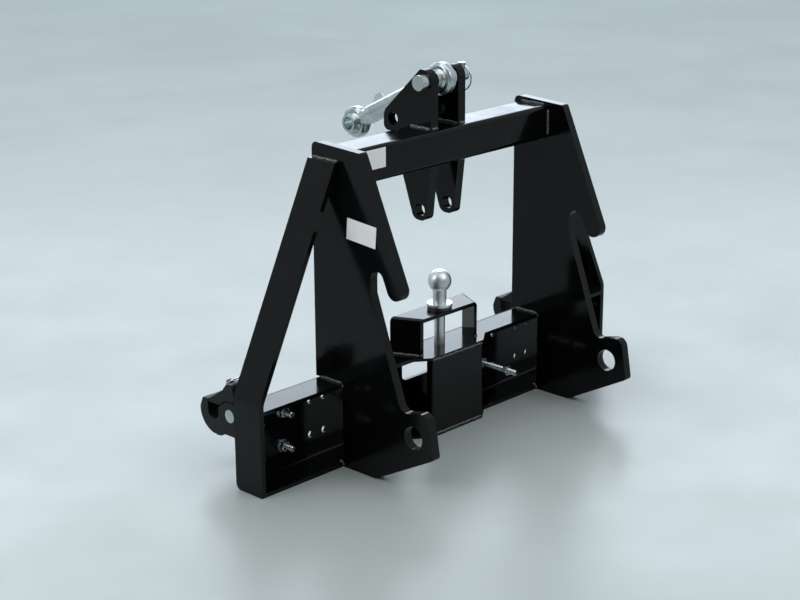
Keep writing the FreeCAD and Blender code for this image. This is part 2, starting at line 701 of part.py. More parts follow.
def stop_nuts():
    nuts = []
    for side in ("", "-"):
        for low in ("-beam_t - stop_nut_t", "stop_front_y + stop_tip"):
            nut = hexagon("y", "stop_nut_flats", low, "%s + stop_nut_t" % low,
                          x="%s(stop_x)" % side, z="stop_z")
            bore = rod("y", "stop_r + thread_gap", "%s - over" % low,
                       "%s + stop_nut_t + over" % low, x="%s(stop_x)" % side, z="stop_z")
            nuts.append(cut(nut, bore))
    return group("stop_stud_nuts", nuts)


# --- catch hooks ----------------------------------------------------------

def bolt_places(side):
    return [("%s(base_x %s bolt_pitch / 2)" % (side, sign), level)
            for sign in ("-", "+") for level in ("bolt_low_z", "bolt_high_z")]


def hook_base(label, side):
    low, high = "bolt_low_z - base_margin", "bolt_high_z + base_margin"
    holes = [(x, z, "bolt_r + thread_gap") for x, z in bolt_places(side)]
    corners = [
        ("%s(base_x) - bolt_pitch / 2 - base_side" % side, low, "small_r"),
        ("%s(base_x) + bolt_pitch / 2 + base_side" % side, low, "small_r"),
        ("%s(base_x) + bolt_pitch / 2 + base_side" % side, high, "small_r"),
        ("%s(base_x) - bolt_pitch / 2 - base_side" % side, high, "small_r"),
    ]
    return plate(label, "XZ", corners, "0", "base_t", holes)


def hook_body(label, side):
    """Two cheeks and a cup in one casting, with a U seat across both cheeks."""
    body = new_body(label)
    sketch = new_sketch(body, "YZ")
    seat_low = "seat_z - seat_r"
    front_y = "(pivot_y + cheek_r * cos(cap_front))"
    front_z = "(pivot_z + cheek_r * sin(cap_front))"
    back_y = "(pivot_y + cheek_r * cos(cheek_back))"
    back_z = "(pivot_z + cheek_r * sin(cheek_back))"
    cheek_top = "pivot_z + cheek_r"
    outline(sketch, [
        ("base_t", "cheek_low_z"),
        ("cheek_mid_y", "cheek_low_z", "cup_edge_r"),
        ("cup_front_y", "cup_low_z", "cup_edge_r"),
        ("cup_rear_y", "cup_low_z", "cup_r"),
        ("cup_rear_y", "nose_tip_z", "nose_r"),
        ("nose_y", "nose_z", "nose_r"),
        ("seat_y + seat_r", "nose_z", "nose_r"),
        ("seat_y + seat_r", seat_low, "seat_r * full_round"),
        ("seat_y - seat_r", seat_low, "seat_r * full_round"),
        ("seat_y - seat_r",
         "%s - (seat_y - seat_r - %s) / tan(cap_front)" % (front_z, front_y), "nose_r"),
        ("pivot_y + cheek_r * tan((90 - cap_front) / 2)", cheek_top, "cheek_r * full_round"),
        ("pivot_y - cheek_r * tan((cheek_back - 90) / 2)", cheek_top, "cheek_r * full_round"),
        ("%s - (%s - cheek_rear_z) * tan(180 - cheek_back)" % (back_y, back_z),
         "cheek_rear_z", "nose_r"),
        ("base_t", "cheek_rear_z"),
    ])
    pad(body, sketch, "hook_width")
    hollow = new_sketch(body, "YZ")
    floor = "pivot_z - hub_r - latch_gap"
    web = "seat_y - seat_r - seat_wall"
    outline(hollow, [
        ("base_t - over", floor),
        (web, floor, "small_r"),
        (web, "%s + over" % cheek_top),
        ("base_t - over", "%s + over" % cheek_top),
    ])
    pocket(body, hollow, "hook_width - 2 * cheek_t")
    bore = new_sketch(body, "YZ")
    ring(bore, "pivot_y", "pivot_z", "pivot_r + pivot_gap")
    pocket(body, bore)
    tie(body, "Placement.Base.x", "%s(base_x - hook_offset)" % side)
    return keep(body, label)


def latch(label, side):
    """The latch: a hub on the pivot, a cap over both cheeks and an eye to lift it by."""
    body = new_body(label)
    hub = new_sketch(body, "YZ")
    outline(hub, [
        ("pivot_y - hub_r", "pivot_z - hub_r", "hub_r * full_round"),
        ("pivot_y + hub_r", "pivot_z - hub_r", "hub_r * full_round"),
        ("pivot_y + hub_r", "cap_heel_z"),
        ("cap_heel_y", "cap_heel_z"),
    ])
    ring(hub, "pivot_y", "pivot_z", "pivot_r + pivot_gap")
    pad(body, hub, "hook_width - 2 * cheek_t - 2 * latch_gap")
    cap = new_sketch(body, "YZ")
    under = "(seat_z + seat_r + latch_seat_gap)"
    tip_y = "seat_y + seat_r - latch_tip_gap"
    reach = "(cheek_r + cap_gap)"
    corner = "%s / cos((cap_rear - cap_front) / 2)" % reach
    outline(cap, [
        (tip_y, under, "cap_edge_r"),
        (tip_y, "cap_tip_z", "cap_edge_r"),
        ("cap_slope_y", "cap_slope_z", "small_r"),
        ("cap_crown_y", "cap_crown_z", "cap_top_r"),
        ("cap_back_y", "cap_back_z", "cap_top_r"),
        ("cap_heel_y", "cap_heel_z", "cap_top_r"),
        ("pivot_y + %s * cos(cap_rear)" % reach, "pivot_z + %s * sin(cap_rear)" % reach),
        ("pivot_y + %s * cos((cap_front + cap_rear) / 2)" % corner,
         "pivot_z + %s * sin((cap_front + cap_rear) / 2)" % corner, "%s * full_round" % reach),
        ("pivot_y + %s * cos(cap_front) + (pivot_z + %s * sin(cap_front) - %s)"
         " * tan(cap_front)" % (reach, reach, under), under, "cap_edge_r"),
    ])
    pad(body, cap, "hook_width")
    lug = new_sketch(body, "YZ")
    outline(lug, [
        ("eye_lug_y - eye_lug_r", "cap_tip_z"),
        ("eye_lug_y + eye_lug_r", "cap_tip_z"),
        ("eye_lug_y + eye_lug_r", "eye_lug_z + eye_lug_r", "eye_lug_r * full_round"),
        ("eye_lug_y - eye_lug_r", "eye_lug_z + eye_lug_r", "eye_lug_r * full_round"),
    ])
    pad(body, lug, "eye_lug_t")
    eye = new_sketch(body, "YZ")
    ring(eye, "eye_lug_y", "eye_lug_z", "pull_wire_r + ring_bore_gap")
    pocket(body, eye)
    tie(body, "Placement.Base.x", "%s(base_x - hook_offset)" % side)
    return keep(body, label)


def latch_pin(label, side):
    half = "hook_width / 2 - pivot_recess"
    return keep(rod("x", "pivot_r", "-(%s)" % half, half, x="%s(base_x - hook_offset)" % side, y="pivot_y",
                    z="pivot_z"), label)


def pull_ring(label, side):
    hoop = torus("pull_ring_r", "pull_wire_r")
    turn(hoop, FreeCAD.Vector(1, 0, 0), "-pull_ring_lean")
    place(hoop, "%s(base_x - hook_offset)" % side, "eye_lug_y - pull_ring_r * cos(pull_ring_lean)",
          "eye_lug_z + pull_ring_r * sin(pull_ring_lean)")
    return keep(hoop, label)


def hook_fasteners():
    studs, washers, nuts = [], [], []
    nut_rear = "-beam_t - washer_t"
    nut_front = "%s - nut_t" % nut_rear
    for side in ("", "-"):
        for x, z in bolt_places(side):
            studs.append(rod("y", "bolt_r", "%s - stud_end" % nut_front, "base_t", x=x, z=z))
            washers.append(cut(rod("y", "washer_r", nut_rear, "-beam_t", x=x, z=z),
                               rod("y", "bolt_r + bolt_clearance", "%s - over" % nut_rear,
                                   "-beam_t + over", x=x, z=z)))
            nuts.append(cut(hexagon("y", "nut_flats", nut_front, nut_rear, x=x, z=z),
                            rod("y", "bolt_r + thread_gap", "%s - over" % nut_front,
                                "%s + over" % nut_rear, x=x, z=z)))
    group("hook_studs", studs)
    group("hook_washers", washers)
    group("hook_nuts", nuts)


# --- blank labels ---------------------------------------------------------

def side_label():
    outer = "plate_inner_x + plate_t"
    long, high = "side_label_long / 2", "side_label_high / 2"
    corners = [("-(%s)" % long, "-(%s)" % high), (long, "-(%s)" % high), (long, high),
               ("-(%s)" % long, high)]
    label = plate("side_label", "YZ", corners, "-(%s) - label_t" % outer, "-(%s)" % outer)
    turn(label, FreeCAD.Vector(1, 0, 0), "side_label_tilt")
    tie(label, "Placement.Base.y", "side_label_y")
    tie(label, "Placement.Base.z", "side_label_z")
    return label


def beam_label():
    half = "beam_label_long / 2"
    return keep(box("beam_label_x - %s" % half, "beam_label_x + %s" % half,
                    "tube_front_y - label_t", "tube_front_y",
                    "beam_label_z - beam_label_high / 2", "beam_label_z + beam_label_high / 2"),
                "beam_label")


# --- the whole hitch ------------------------------------------------------

outer_x = "(plate_inner_x + plate_t)"
side_plate("side_plate_left", "-%s" % outer_x, "-plate_inner_x")
side_plate("side_plate_right", "plate_inner_x", outer_x)
lower_beam()
brace("brace_left", "-")
brace("brace_right", "")
upper_beam()
top_bracket("top_bracket_left", "-bracket_x - bracket_t", "-bracket_x")
top_bracket("top_bracket_right", "bracket_x", "bracket_x + bracket_t")
top_link_pin()
linch_pin()
linch_ring()
link_ball("near_ball", "0")
link_ball("far_ball", "link_length")
rod_end("near_rod_end", "0", "+")
rod_end("far_rod_end", "link_length", "-")
barrel()
lock_nut()
tow_front_plate()
tie_plate("tow_tie_plate_top", "beam_high_z - tie_t", "beam_high_z")
tie_plate("tow_tie_plate_bottom", "beam_low_z", "beam_low_z + tie_t")
ball_bracket()
tow_ball()
tow_washers()
tow_nut()
stop_nuts()
for hand, sign in (("left", "-"), ("right", "")):
    stop_stud("stop_stud_" + hand, sign)
    hook_base("hook_base_" + hand, sign)
    hook_body("hook_body_" + hand, sign)
    latch("latch_" + hand, sign)
    latch_pin("latch_pin_" + hand, sign)
    pull_ring("pull_ring_" + hand, sign)
hook_fasteners()
side_label()
beam_label()

for thing in SUB_PARTS:
    drawn_y = dict(thing.ExpressionEngine).get(".Placement.Base.y", "0")
    thing.setExpression("Placement.Base.y", "(%s) - Sizes.origin_y" % drawn_y)
doc.recompute()

for thing in doc.Objects:
    if {"Invalid", "Error"} & set(thing.State):
        raise RuntimeError("%s failed: %s" % (thing.Label, thing.State))
for thing in SUB_PARTS:
    if thing.Shape.isNull() or not thing.Shape.isValid() or not thing.Shape.Solids:
        raise RuntimeError(thing.Label + " has no valid solid")
for thing in SUB_PARTS:
    thing.Shape.exportStep("parts/%s.step" % thing.Label)
print("%d sub-parts" % len(SUB_PARTS))
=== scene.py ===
import json
import math

import bmesh
import bpy
from mathutils import Matrix, Vector

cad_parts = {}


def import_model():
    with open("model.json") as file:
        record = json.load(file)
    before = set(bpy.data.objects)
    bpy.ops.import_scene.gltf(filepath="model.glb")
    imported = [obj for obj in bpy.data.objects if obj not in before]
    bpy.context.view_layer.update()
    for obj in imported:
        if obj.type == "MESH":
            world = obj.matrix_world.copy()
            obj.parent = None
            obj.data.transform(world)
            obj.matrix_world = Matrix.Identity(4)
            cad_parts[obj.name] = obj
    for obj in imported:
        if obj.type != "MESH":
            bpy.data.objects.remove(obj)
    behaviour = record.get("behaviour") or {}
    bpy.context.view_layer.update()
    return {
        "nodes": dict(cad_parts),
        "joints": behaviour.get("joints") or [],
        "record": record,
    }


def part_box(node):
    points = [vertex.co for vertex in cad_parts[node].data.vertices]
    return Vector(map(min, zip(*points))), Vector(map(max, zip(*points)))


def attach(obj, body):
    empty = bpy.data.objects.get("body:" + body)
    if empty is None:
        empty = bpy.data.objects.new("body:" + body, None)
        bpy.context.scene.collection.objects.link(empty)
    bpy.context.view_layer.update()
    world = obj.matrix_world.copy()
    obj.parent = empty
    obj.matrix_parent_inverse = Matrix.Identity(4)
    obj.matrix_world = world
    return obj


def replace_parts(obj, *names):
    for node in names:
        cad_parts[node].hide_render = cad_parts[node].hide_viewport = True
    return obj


# The dressed three point quick hitch: painted plates and castings with weld
# beads, zinc-plated fasteners and top link, on a plain pale floor.
#
# Sizes of pieces are in millimetres, and MM turns them into metres. The
# materials' own lengths and the studio's are in metres, and angles in degrees.

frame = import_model()
NODES = frame["nodes"]
JOINTS = {joint["name"]: joint for joint in frame["joints"]}

MM = 0.001
SIDES = (("left", -1), ("right", 1))

# --- shader helpers -------------------------------------------------------

WEAR_SAMPLES = 6
WEAR_SCALE = 55


def fill(node, sockets):
    """Sets a node's inputs by name, with _ for a space."""
    for name, value in sockets.items():
        node.inputs[name.replace("_", " ")].default_value = value


class Shader:
    """A node material with short calls for the nodes used here."""

    def __init__(self, name):
        self.material = bpy.data.materials.new(name)
        self.material.use_nodes = True
        self.tree = self.material.node_tree
        self.tree.nodes.clear()
        self.output = self.tree.nodes.new("ShaderNodeOutputMaterial")
        self.surface = self.add("ShaderNodeBsdfPrincipled")
        self.link(self.surface.outputs["BSDF"], self.output.inputs["Surface"])
        self.place = self.add("ShaderNodeTexCoord").outputs["Object"]

    def add(self, kind, **sockets):
        """A new node with some of its inputs set."""
        node = self.tree.nodes.new(kind)
        fill(node, sockets)
        return node

    def set(self, **sockets):
        """Sets inputs of the surface."""
        fill(self.surface, sockets)

    def link(self, start, end):
        self.tree.links.new(start, end)

    def feed(self, socket, value):
        """An input takes another node's output, a colour or a number."""
        if isinstance(value, bpy.types.NodeSocket):
            self.link(value, socket)
        elif isinstance(value, tuple):
            socket.default_value = (*value, 1)
        else:
            socket.default_value = value

    def noise(self, scale, detail=3.0, roughness=0.5, distortion=0.0):
        node = self.add("ShaderNodeTexNoise", Scale=scale, Detail=detail,
                        Roughness=roughness, Distortion=distortion)
        self.link(self.place, node.inputs["Vector"])
        return node.outputs["Fac"]

    def cells(self, scale):
        node = self.add("ShaderNodeTexVoronoi", Scale=scale)
        self.link(self.place, node.inputs["Vector"])
        return node.outputs["Distance"]

    def ramp(self, factor, low, high, start=0.35, end=0.65):
        """From colour low to colour high as factor goes from start to end."""
        node = self.add("ShaderNodeValToRGB")
        stops = node.color_ramp.elements
        for stop, place, colour in ((stops[0], start, low), (stops[1], end, high)):
            stop.position = place
            stop.color = (*colour, 1)
        self.link(factor, node.inputs["Fac"])
        return node.outputs["Color"]

    def span(self, factor, low, high, start=0.3, end=0.7):
        """From number low to number high as factor goes from start to end."""
        node = self.add("ShaderNodeMapRange", From_Min=start, From_Max=end,
                        To_Min=low, To_Max=high)
        self.link(factor, node.inputs["Value"])
        return node.outputs["Result"]

    def mix(self, factor, first, second):
        """Colour first where factor is 0, and second where it is 1."""
        node = self.tree.nodes.new("ShaderNodeMix")
        node.data_type = "RGBA"
        self.link(factor, node.inputs["Factor"])
        self.feed(node.inputs["A"], first)
        self.feed(node.inputs["B"], second)
        return node.outputs["Result"]

    def maths(self, operation, first, second):
        node = self.tree.nodes.new("ShaderNodeMath")
        node.operation = operation
        self.feed(node.inputs[0], first)
        self.feed(node.inputs[1], second)
        return node.outputs["Value"]

    def edge_mask(self, radius, gain):
        """Above 0 along worn edges, 0 on flats, broken up by noise."""
        bevel = self.add("ShaderNodeBevel", Radius=radius)
        bevel.samples = WEAR_SAMPLES
        geometry = self.add("ShaderNodeNewGeometry")
        dot = self.tree.nodes.new("ShaderNodeVectorMath")
        dot.operation = "DOT_PRODUCT"
        self.link(bevel.outputs["Normal"], dot.inputs[0])
        self.link(geometry.outputs["Normal"], dot.inputs[1])
        bend = self.maths("SUBTRACT", 1.0, dot.outputs["Value"])
        patches = self.span(self.noise(WEAR_SCALE), 0, gain, start=0.42, end=0.62)
        worn = self.maths("MULTIPLY", bend, patches)
        node = self.add("ShaderNodeClamp")
        self.link(worn, node.inputs["Value"])
        return node.outputs["Result"]

    def bump(self, height, distance, strength=1.0, onto=None):
        """Height as a relief of that depth in metres, on top of another one."""
        node = self.add("ShaderNodeBump", Distance=distance, Strength=strength)
        self.link(height, node.inputs["Height"])
        if onto is not None:
            self.link(onto, node.inputs["Normal"])
        return node.outputs["Normal"]

    def finish(self, colour, roughness, normal):
        self.link(colour, self.surface.inputs["Base Color"])
        self.link(roughness, self.surface.inputs["Roughness"])
        self.link(normal, self.surface.inputs["Normal"])
        return self.material


# --- materials ------------------------------------------------------------


def black_paint():
    """Semi-gloss black paint on plate: faint orange peel, dust, rubbed edges."""
    made = Shader("black_paint")
    made.set(IOR=1.3)
    film = made.ramp(made.noise(6), (0.0012, 0.0014, 0.0017), (0.0028, 0.0031, 0.0035))
    specks = made.noise(16, detail=6, roughness=0.65, distortion=0.4)
    dust = made.span(specks, 0.0, 0.05, start=0.52, end=0.82)
    dusty = made.mix(dust, film, (0.04, 0.042, 0.041))
    rubbed = made.edge_mask(radius=0.0016, gain=0.7)
    colour = made.mix(rubbed, dusty, (0.035, 0.037, 0.038))
    rough = made.span(made.noise(22, detail=5, roughness=0.6), 0.08, 0.17)
    peel = made.bump(made.noise(300, detail=2, roughness=0.4), 0.00002)
    rolled = made.bump(made.noise(9, detail=2), 0.0004, strength=0.5, onto=peel)
    return made.finish(colour, rough, rolled)


def cast_paint():
    """The same paint over a rough casting."""
    made = Shader("cast_paint")
    made.set(IOR=1.36)
    film = made.ramp(made.noise(14), (0.0014, 0.0016, 0.0019), (0.0038, 0.0041, 0.0044))
    rubbed = made.edge_mask(radius=0.002, gain=1.0)
    colour = made.mix(rubbed, film, (0.045, 0.047, 0.048))
    rough = made.span(made.noise(60, detail=5, roughness=0.6), 0.34, 0.52)
    grain = made.bump(made.noise(520, detail=4, roughness=0.6), 0.00035)
    pits = made.bump(made.cells(260), 0.0003, strength=0.5, onto=grain)
    return made.finish(colour, rough, pits)


def weld_paint():
    """Paint over a weld bead, with a painted highlight: its colour is lighter than the
    plate paint's to stand for the bead catching more light.
    """
    made = Shader("weld_paint")
    made.set(IOR=1.6, Coat_Weight=0.7, Coat_Roughness=0.1)
    # Painted highlight: this colour is several times lighter than black_paint's film to
    # look like light on the bead.
    colour = made.ramp(made.noise(40), (0.008, 0.0088, 0.0092), (0.018, 0.0192, 0.0198))
    rough = made.span(made.noise(90, detail=4), 0.18, 0.34)
    grain = made.bump(made.noise(600), 0.0002)
    return made.finish(colour, rough, grain)


def zinc_plate():
    """Bright zinc with a cold blue passivation, finely brushed and a bit patchy."""
    made = Shader("zinc_plate")
    made.set(Metallic=1.0)
    blue = made.ramp(made.noise(28, detail=4, roughness=0.6, distortion=0.6),
                     (0.46, 0.53, 0.56), (0.66, 0.72, 0.74))
    grey = made.ramp(made.noise(130, detail=4), (0.44, 0.46, 0.47), (0.7, 0.72, 0.73))
    colour = made.mix(made.span(made.noise(70, detail=5), 0.0, 0.3), blue, grey)
    rough = made.span(made.noise(150, detail=5, roughness=0.6), 0.2, 0.36)
    brush = made.bump(made.noise(700), 0.00004)
    dents = made.bump(made.noise(60), 0.00005, strength=0.6, onto=brush)
    return made.finish(colour, rough, dents)


def satin_zinc():
    """The tow ball: the same plating, turned and a little duller."""
    made = Shader("satin_zinc")
    made.set(Metallic=1.0)
    colour = made.ramp(made.noise(24, detail=4, roughness=0.6),
                       (0.6, 0.65, 0.67), (0.82, 0.86, 0.87))
    rough = made.span(made.noise(90, detail=4, roughness=0.6), 0.36, 0.5)
    return made.finish(colour, rough, made.bump(made.noise(500), 0.00004))


def dark_steel():
    """Dull blackened steel of the washers and the big nut."""
    made = Shader("dark_steel")
    made.set(Metallic=1.0)
    colour = made.ramp(made.noise(60, detail=4),
                       (0.07, 0.075, 0.08), (0.16, 0.168, 0.172))
    rough = made.span(made.noise(120, detail=4), 0.35, 0.55)
    return made.finish(colour, rough, made.bump(made.noise(500), 0.00006))


def blank_label():
    """Bare white label stock with a slight satin, pressed on a little unevenly."""
    made = Shader("blank_label")
    made.set(Coat_Weight=0.3, Coat_Roughness=0.3)
    colour = made.ramp(made.noise(35), (0.82, 0.835, 0.835), (0.88, 0.895, 0.89))
    rough = made.span(made.noise(80), 0.45, 0.6)
    return made.finish(colour, rough, made.bump(made.noise(60, detail=2), 0.00012))


def floor_paint():
    """The pale floor, smooth enough to mirror the object faintly."""
    made = Shader("floor_paint")
    colour = made.ramp(made.noise(0.9, detail=5, roughness=0.6),
                       (0.335, 0.375, 0.37), (0.375, 0.42, 0.415))
    rough = made.span(made.noise(3, detail=5, roughness=0.6), 0.3, 0.42)
    return made.finish(colour, rough, made.bump(made.noise(60), 0.0002, strength=0.3))


MATERIALS = {"black_paint": black_paint(), "cast_paint": cast_paint(),
             "zinc_plate": zinc_plate(), "dark_steel": dark_steel(),
             "blank_label": blank_label()}
WELD = weld_paint()

# --- carried-over CAD nodes -----------------------------------------------

ROUND_ANGLE = 35
SMOOTH_FACTOR = 0.5


def dress_nodes():
    """Each CAD node gets its slot's material."""
    rows = {row["node"]: row["material_slot"] for row in frame["record"]["subparts"]}
    for name, node in NODES.items():
        node.data.materials.clear()
        node.data.materials.append(MATERIALS[rows[name]])


def round_edges(width, names, segments=2):
    """Edges sharper than ROUND_ANGLE are rounded, as cut plate and turned bar are."""
    for name in names:
        bevel = NODES[name].modifiers.new("round", "BEVEL")
        bevel.width = width * MM
        bevel.segments = segments
        bevel.limit_method = "ANGLE"
        bevel.angle_limit = math.radians(ROUND_ANGLE)
        bevel.use_clamp_overlap = True


def soften(names, voxel, passes):
    """Castings and forgings: no sharp edge is left anywhere."""
    for name in names:
        remesh = NODES[name].modifiers.new("cast", "REMESH")
        remesh.mode = "VOXEL"
        remesh.voxel_size = voxel * MM
        remesh.use_smooth_shade = True
        smooth = NODES[name].modifiers.new("flow", "SMOOTH")
        smooth.factor = SMOOTH_FACTOR
        smooth.iterations = passes


def both(*stems):
    """The left and right node of each stem."""
    return ["%s_%s" % (stem, side) for stem in stems for side, hand in SIDES]


dress_nodes()
NODES["tow_ball"].data.materials[0] = satin_zinc()
round_edges(0.8, both("side_plate", "hook_base")
            + ["tow_front_plate", "tow_tie_plate_top", "tow_tie_plate_bottom"])
round_edges(0.6, both("brace", "top_bracket")
            + ["ball_bracket", "lower_beam", "upper_beam", "lock_nut"])
round_edges(1.2, ["top_link_pin", "barrel", "tow_ball", "linch_pin"], segments=3)
round_edges(0.5, both("latch_pin")
            + ["near_ball", "far_ball", "tow_ball_washers", "hook_washers"])
soften(both("hook_body", "latch"), voxel=1.0, passes=6)
soften(["near_rod_end", "far_rod_end"], voxel=0.9, passes=3)

# --- helpers for the pieces made here -------------------------------------

SHARP_ANGLE = 38
MERGE = 0.01


def in_scene(name, data):
    """A new object in the scene that holds data."""
    thing = bpy.data.objects.new(name, data)
    bpy.context.scene.collection.objects.link(thing)
    return thing


def piece(name, rings, body, material, closed=False):
    """A skin over rings of points; closed joins the last ring to the first."""
    mesh = bpy.data.meshes.new(name)
    shape = bmesh.new()
    rows = [[shape.verts.new([value * MM for value in point]) for point in ring]
            for ring in rings]
    pairs = list(zip(rows, rows[1:]))
    if closed:
        pairs.append((rows[-1], rows[0]))
    else:
        shape.faces.new(rows[0][::-1])
        shape.faces.new(rows[-1])
    for low, high in pairs:
        for index, vertex in enumerate(low):
            after = (index + 1) % len(low)
            shape.faces.new((vertex, low[after], high[after], high[index]))
    bmesh.ops.recalc_face_normals(shape, faces=shape.faces)
    shape.to_mesh(mesh)
    shape.free()
    mesh.polygons.foreach_set("use_smooth", [True] * len(mesh.polygons))
    mesh.set_sharp_from_angle(angle=math.radians(SHARP_ANGLE))
    thing = in_scene(name, mesh)
    thing.data.materials.append(material)
    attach(thing, body)
    return thing


def join(name, things):
    """One object from several that ride on the same body."""
    first = things[0]
    with bpy.context.temp_override(active_object=first, object=first,
                                   selected_objects=things,
                                   selected_editable_objects=things):
        bpy.ops.object.join()
    first.name = name
    return first


def mm_box(name):
    """The node's lowest and highest corner in millimetres."""
    low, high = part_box(name)
    return [value / MM for value in low], [value / MM for value in high]


def across(start, end):
    """Two unit vectors square to the line from start to end."""
    along = (end - start).normalized()
    side = along.orthogonal().normalized()
    return side, along.cross(side)


def around(side, other, turn):
    """The unit vector at that angle between side and other."""
    return side * math.cos(turn) + other * math.sin(turn)


def solid_boxes(name):
    """The lowest and highest corner of each separate solid in a node, in mm."""
    shape = bmesh.new()
    shape.from_mesh(NODES[name].data)
    bmesh.ops.remove_doubles(shape, verts=shape.verts, dist=MERGE * MM)
    left = set(shape.verts)
    found = []
    while left:
        group, edge = set(), [left.pop()]
        while edge:
            vertex = edge.pop()
            group.add(vertex)
            for link in vertex.link_edges:
                other = link.other_vert(vertex)
                if other in left:
                    left.remove(other)
                    edge.append(other)
        low = [min(vertex.co[axis] for vertex in group) / MM for axis in range(3)]
        high = [max(vertex.co[axis] for vertex in group) / MM for axis in range(3)]
        found.append((low, high))
    shape.free()
    return sorted(found)


# --- threads and nuts -----------------------------------------------------

# A thread has THREAD_RINGS rings of points to a pitch, and tapers over its first
# and last pitch.
THREAD_CORNERS = 20
THREAD_RINGS = 6
THREAD_TAPER = 0.6

# A nut's corners are cut by a cone on both faces, down to NUT_CROWN of the width
# across flats, and its bore has a lip. NUT_TURN sets one nut off from the next.
NUT_CORNERS = 48
NUT_CROWN = 0.96
NUT_CONE_SLOPE = 0.58
NUT_LIP, NUT_LIP_DEPTH = 0.8, 0.9
NUT_TURN = 0.37

# The half-inch studs and their nuts.
STUD_PITCH = 1.95
STUD_DEPTH = 0.45 * STUD_PITCH
STUD_NUT_BORE = 6.4

# The tow ball's shank.
TOW_NUT_BORE = 11.1
TOW_NUT_TURN = 0.4

# The top link's rods. Each thread's ends are measured from its eye's centre.
LINK_THREAD_START, LINK_THREAD_END = 43.5, 109
LINK_THREAD_R, LINK_PITCH, LINK_DEPTH = 13.3, 2.5, 0.6


def screw_thread(name, start, end, radius, pitch, depth, body):
    """A threaded rod with a chamfer at both ends."""
    start, end = Vector(start), Vector(end)
    side, other = across(start, end)
    length = (end - start).length
    count = int(length / pitch * THREAD_RINGS)
    rings = []
    for step in range(count + 1):
        run = length * step / count
        edge = min(run, length - run, pitch)
        ring = []
        for corner in range(THREAD_CORNERS):
            share = corner / THREAD_CORNERS
            tooth = abs(((run / pitch + share) % 1.0) * 2 - 1)
            size = radius - depth * tooth - (pitch - edge) * THREAD_TAPER
            outward = around(side, other, math.tau * corner / THREAD_CORNERS)
            ring.append(start.lerp(end, run / length) + outward * size)
        rings.append(ring)
    return piece(name, rings, body, MATERIALS["zinc_plate"])


def hex_nut(name, start, end, flats, bore, turned, slot="zinc_plate"):
    """A hexagon nut whose corners are chamfered on both faces."""
    start, end = Vector(start), Vector(end)
    side, other = across(start, end)
    along = (end - start).normalized()
    length = (end - start).length
    crown = flats / 2 * NUT_CROWN
    outline = []
    for corner in range(NUT_CORNERS):
        turn = math.tau * corner / NUT_CORNERS
        flat = (turn % (math.pi / 3)) - math.pi / 6
        outer = flats / 2 / math.cos(flat)
        drop = (outer - crown) * NUT_CONE_SLOPE
        outline.append((turn + turned, ((bore, NUT_LIP_DEPTH), (bore + NUT_LIP, 0.0),
                                        (crown, 0.0), (outer, drop))))
    # From inside the bore over the near face, along the wall, and back again.
    rings = []
    for level, far_face in ((0, False), (1, False), (2, False), (3, False),
                            (3, True), (2, True), (1, True), (0, True)):
        ring = []
        for angle, levels in outline:
            size, rise = levels[level]
            if far_face:
                rise = length - rise
            ring.append(start + along * rise + around(side, other, angle) * size)
        rings.append(ring)
    return piece(name, rings, "frame", MATERIALS[slot], closed=True)


def along_y(low, high):
    """The axis ends of a fastener that lies along Y."""
    x, z = (low[0] + high[0]) / 2, (low[2] + high[2]) / 2
    return (x, low[1], z), (x, high[1], z)


def rods_for(names, label):
    """One threaded piece in place of the plain studs in these nodes."""
    made = []
    for name in names:
        for low, high in solid_boxes(name):
            start, end = along_y(low, high)
            radius = (high[0] - low[0]) / 2
            made.append(screw_thread("rod", start, end, radius, STUD_PITCH, STUD_DEPTH,
                                     "frame"))
    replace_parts(join(label, made), *names)


def nuts_for(name, label):
    """One piece of chamfered nuts, each turned its own way, in place of a node."""
    made = []
    for index, (low, high) in enumerate(solid_boxes(name)):
        start, end = along_y(low, high)
        flats = high[2] - low[2]
        made.append(hex_nut("nut", start, end, flats, STUD_NUT_BORE, index * NUT_TURN))
    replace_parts(join(label, made), name)


def tow_nut():
    """The nut under the tow ball's stand, on a vertical axis."""
    low, high = mm_box("tow_ball_nut")
    x, y = (low[0] + high[0]) / 2, (low[1] + high[1]) / 2
    nut = hex_nut("chamfered_tow_nut", (x, y, low[2]), (x, y, high[2]),
                  high[1] - low[1], TOW_NUT_BORE, TOW_NUT_TURN, "dark_steel")
    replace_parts(nut, "tow_ball_nut")


def link_threads():
    """The ridges on the two rods of the top link, which slide inside the barrel."""
    along = Vector(JOINTS["far_travel"]["axis"])
    for body, pin, toward in (("near_rod", JOINTS["link_pitch"]["pos_m"], along),
                              ("far_rod", JOINTS["far_ball_swivel"]["pos_m"], -along)):
        centre = Vector(pin) / MM
        screw_thread(body + "_thread", centre + toward * LINK_THREAD_START,
                     centre + toward * LINK_THREAD_END, LINK_THREAD_R, LINK_PITCH,
                     LINK_DEPTH, body)


rods_for(["hook_studs"], "hook_stud_threads")
rods_for(["stop_stud_left", "stop_stud_right"], "stop_stud_threads")
nuts_for("hook_nuts", "chamfered_hook_nuts")
nuts_for("stop_stud_nuts", "chamfered_stop_nuts")
tow_nut()
link_threads()

# --- welds ----------------------------------------------------------------

# A bead is a chain of ripples. It swells from END_SHARE of its size to all of
# it over SWELL, and wanders a little to both sides.
RIPPLE, BEAD_STEP, BEAD_LEAST_STEPS, BEAD_CORNERS = 3.4, 0.7, 8, 12
SWELL, END_SHARE = 5, 0.35
HOLLOW_SHARE, RIPPLE_SHARE = 0.84, 0.22
UNEVEN_SHARE, UNEVEN_RATE, UNEVEN_PHASE = 0.05, 0.37, 5
WANDER, WANDER_RATE, WANDER_PHASE = 0.35, 0.21, 9
PHASE_STEP = 0.31

# Bead radii.
HEAVY, TUBE, MEDIUM, LIGHT, TOE, FINE = 4.2, 4.0, 3.8, 3.6, 3.4, 2.6

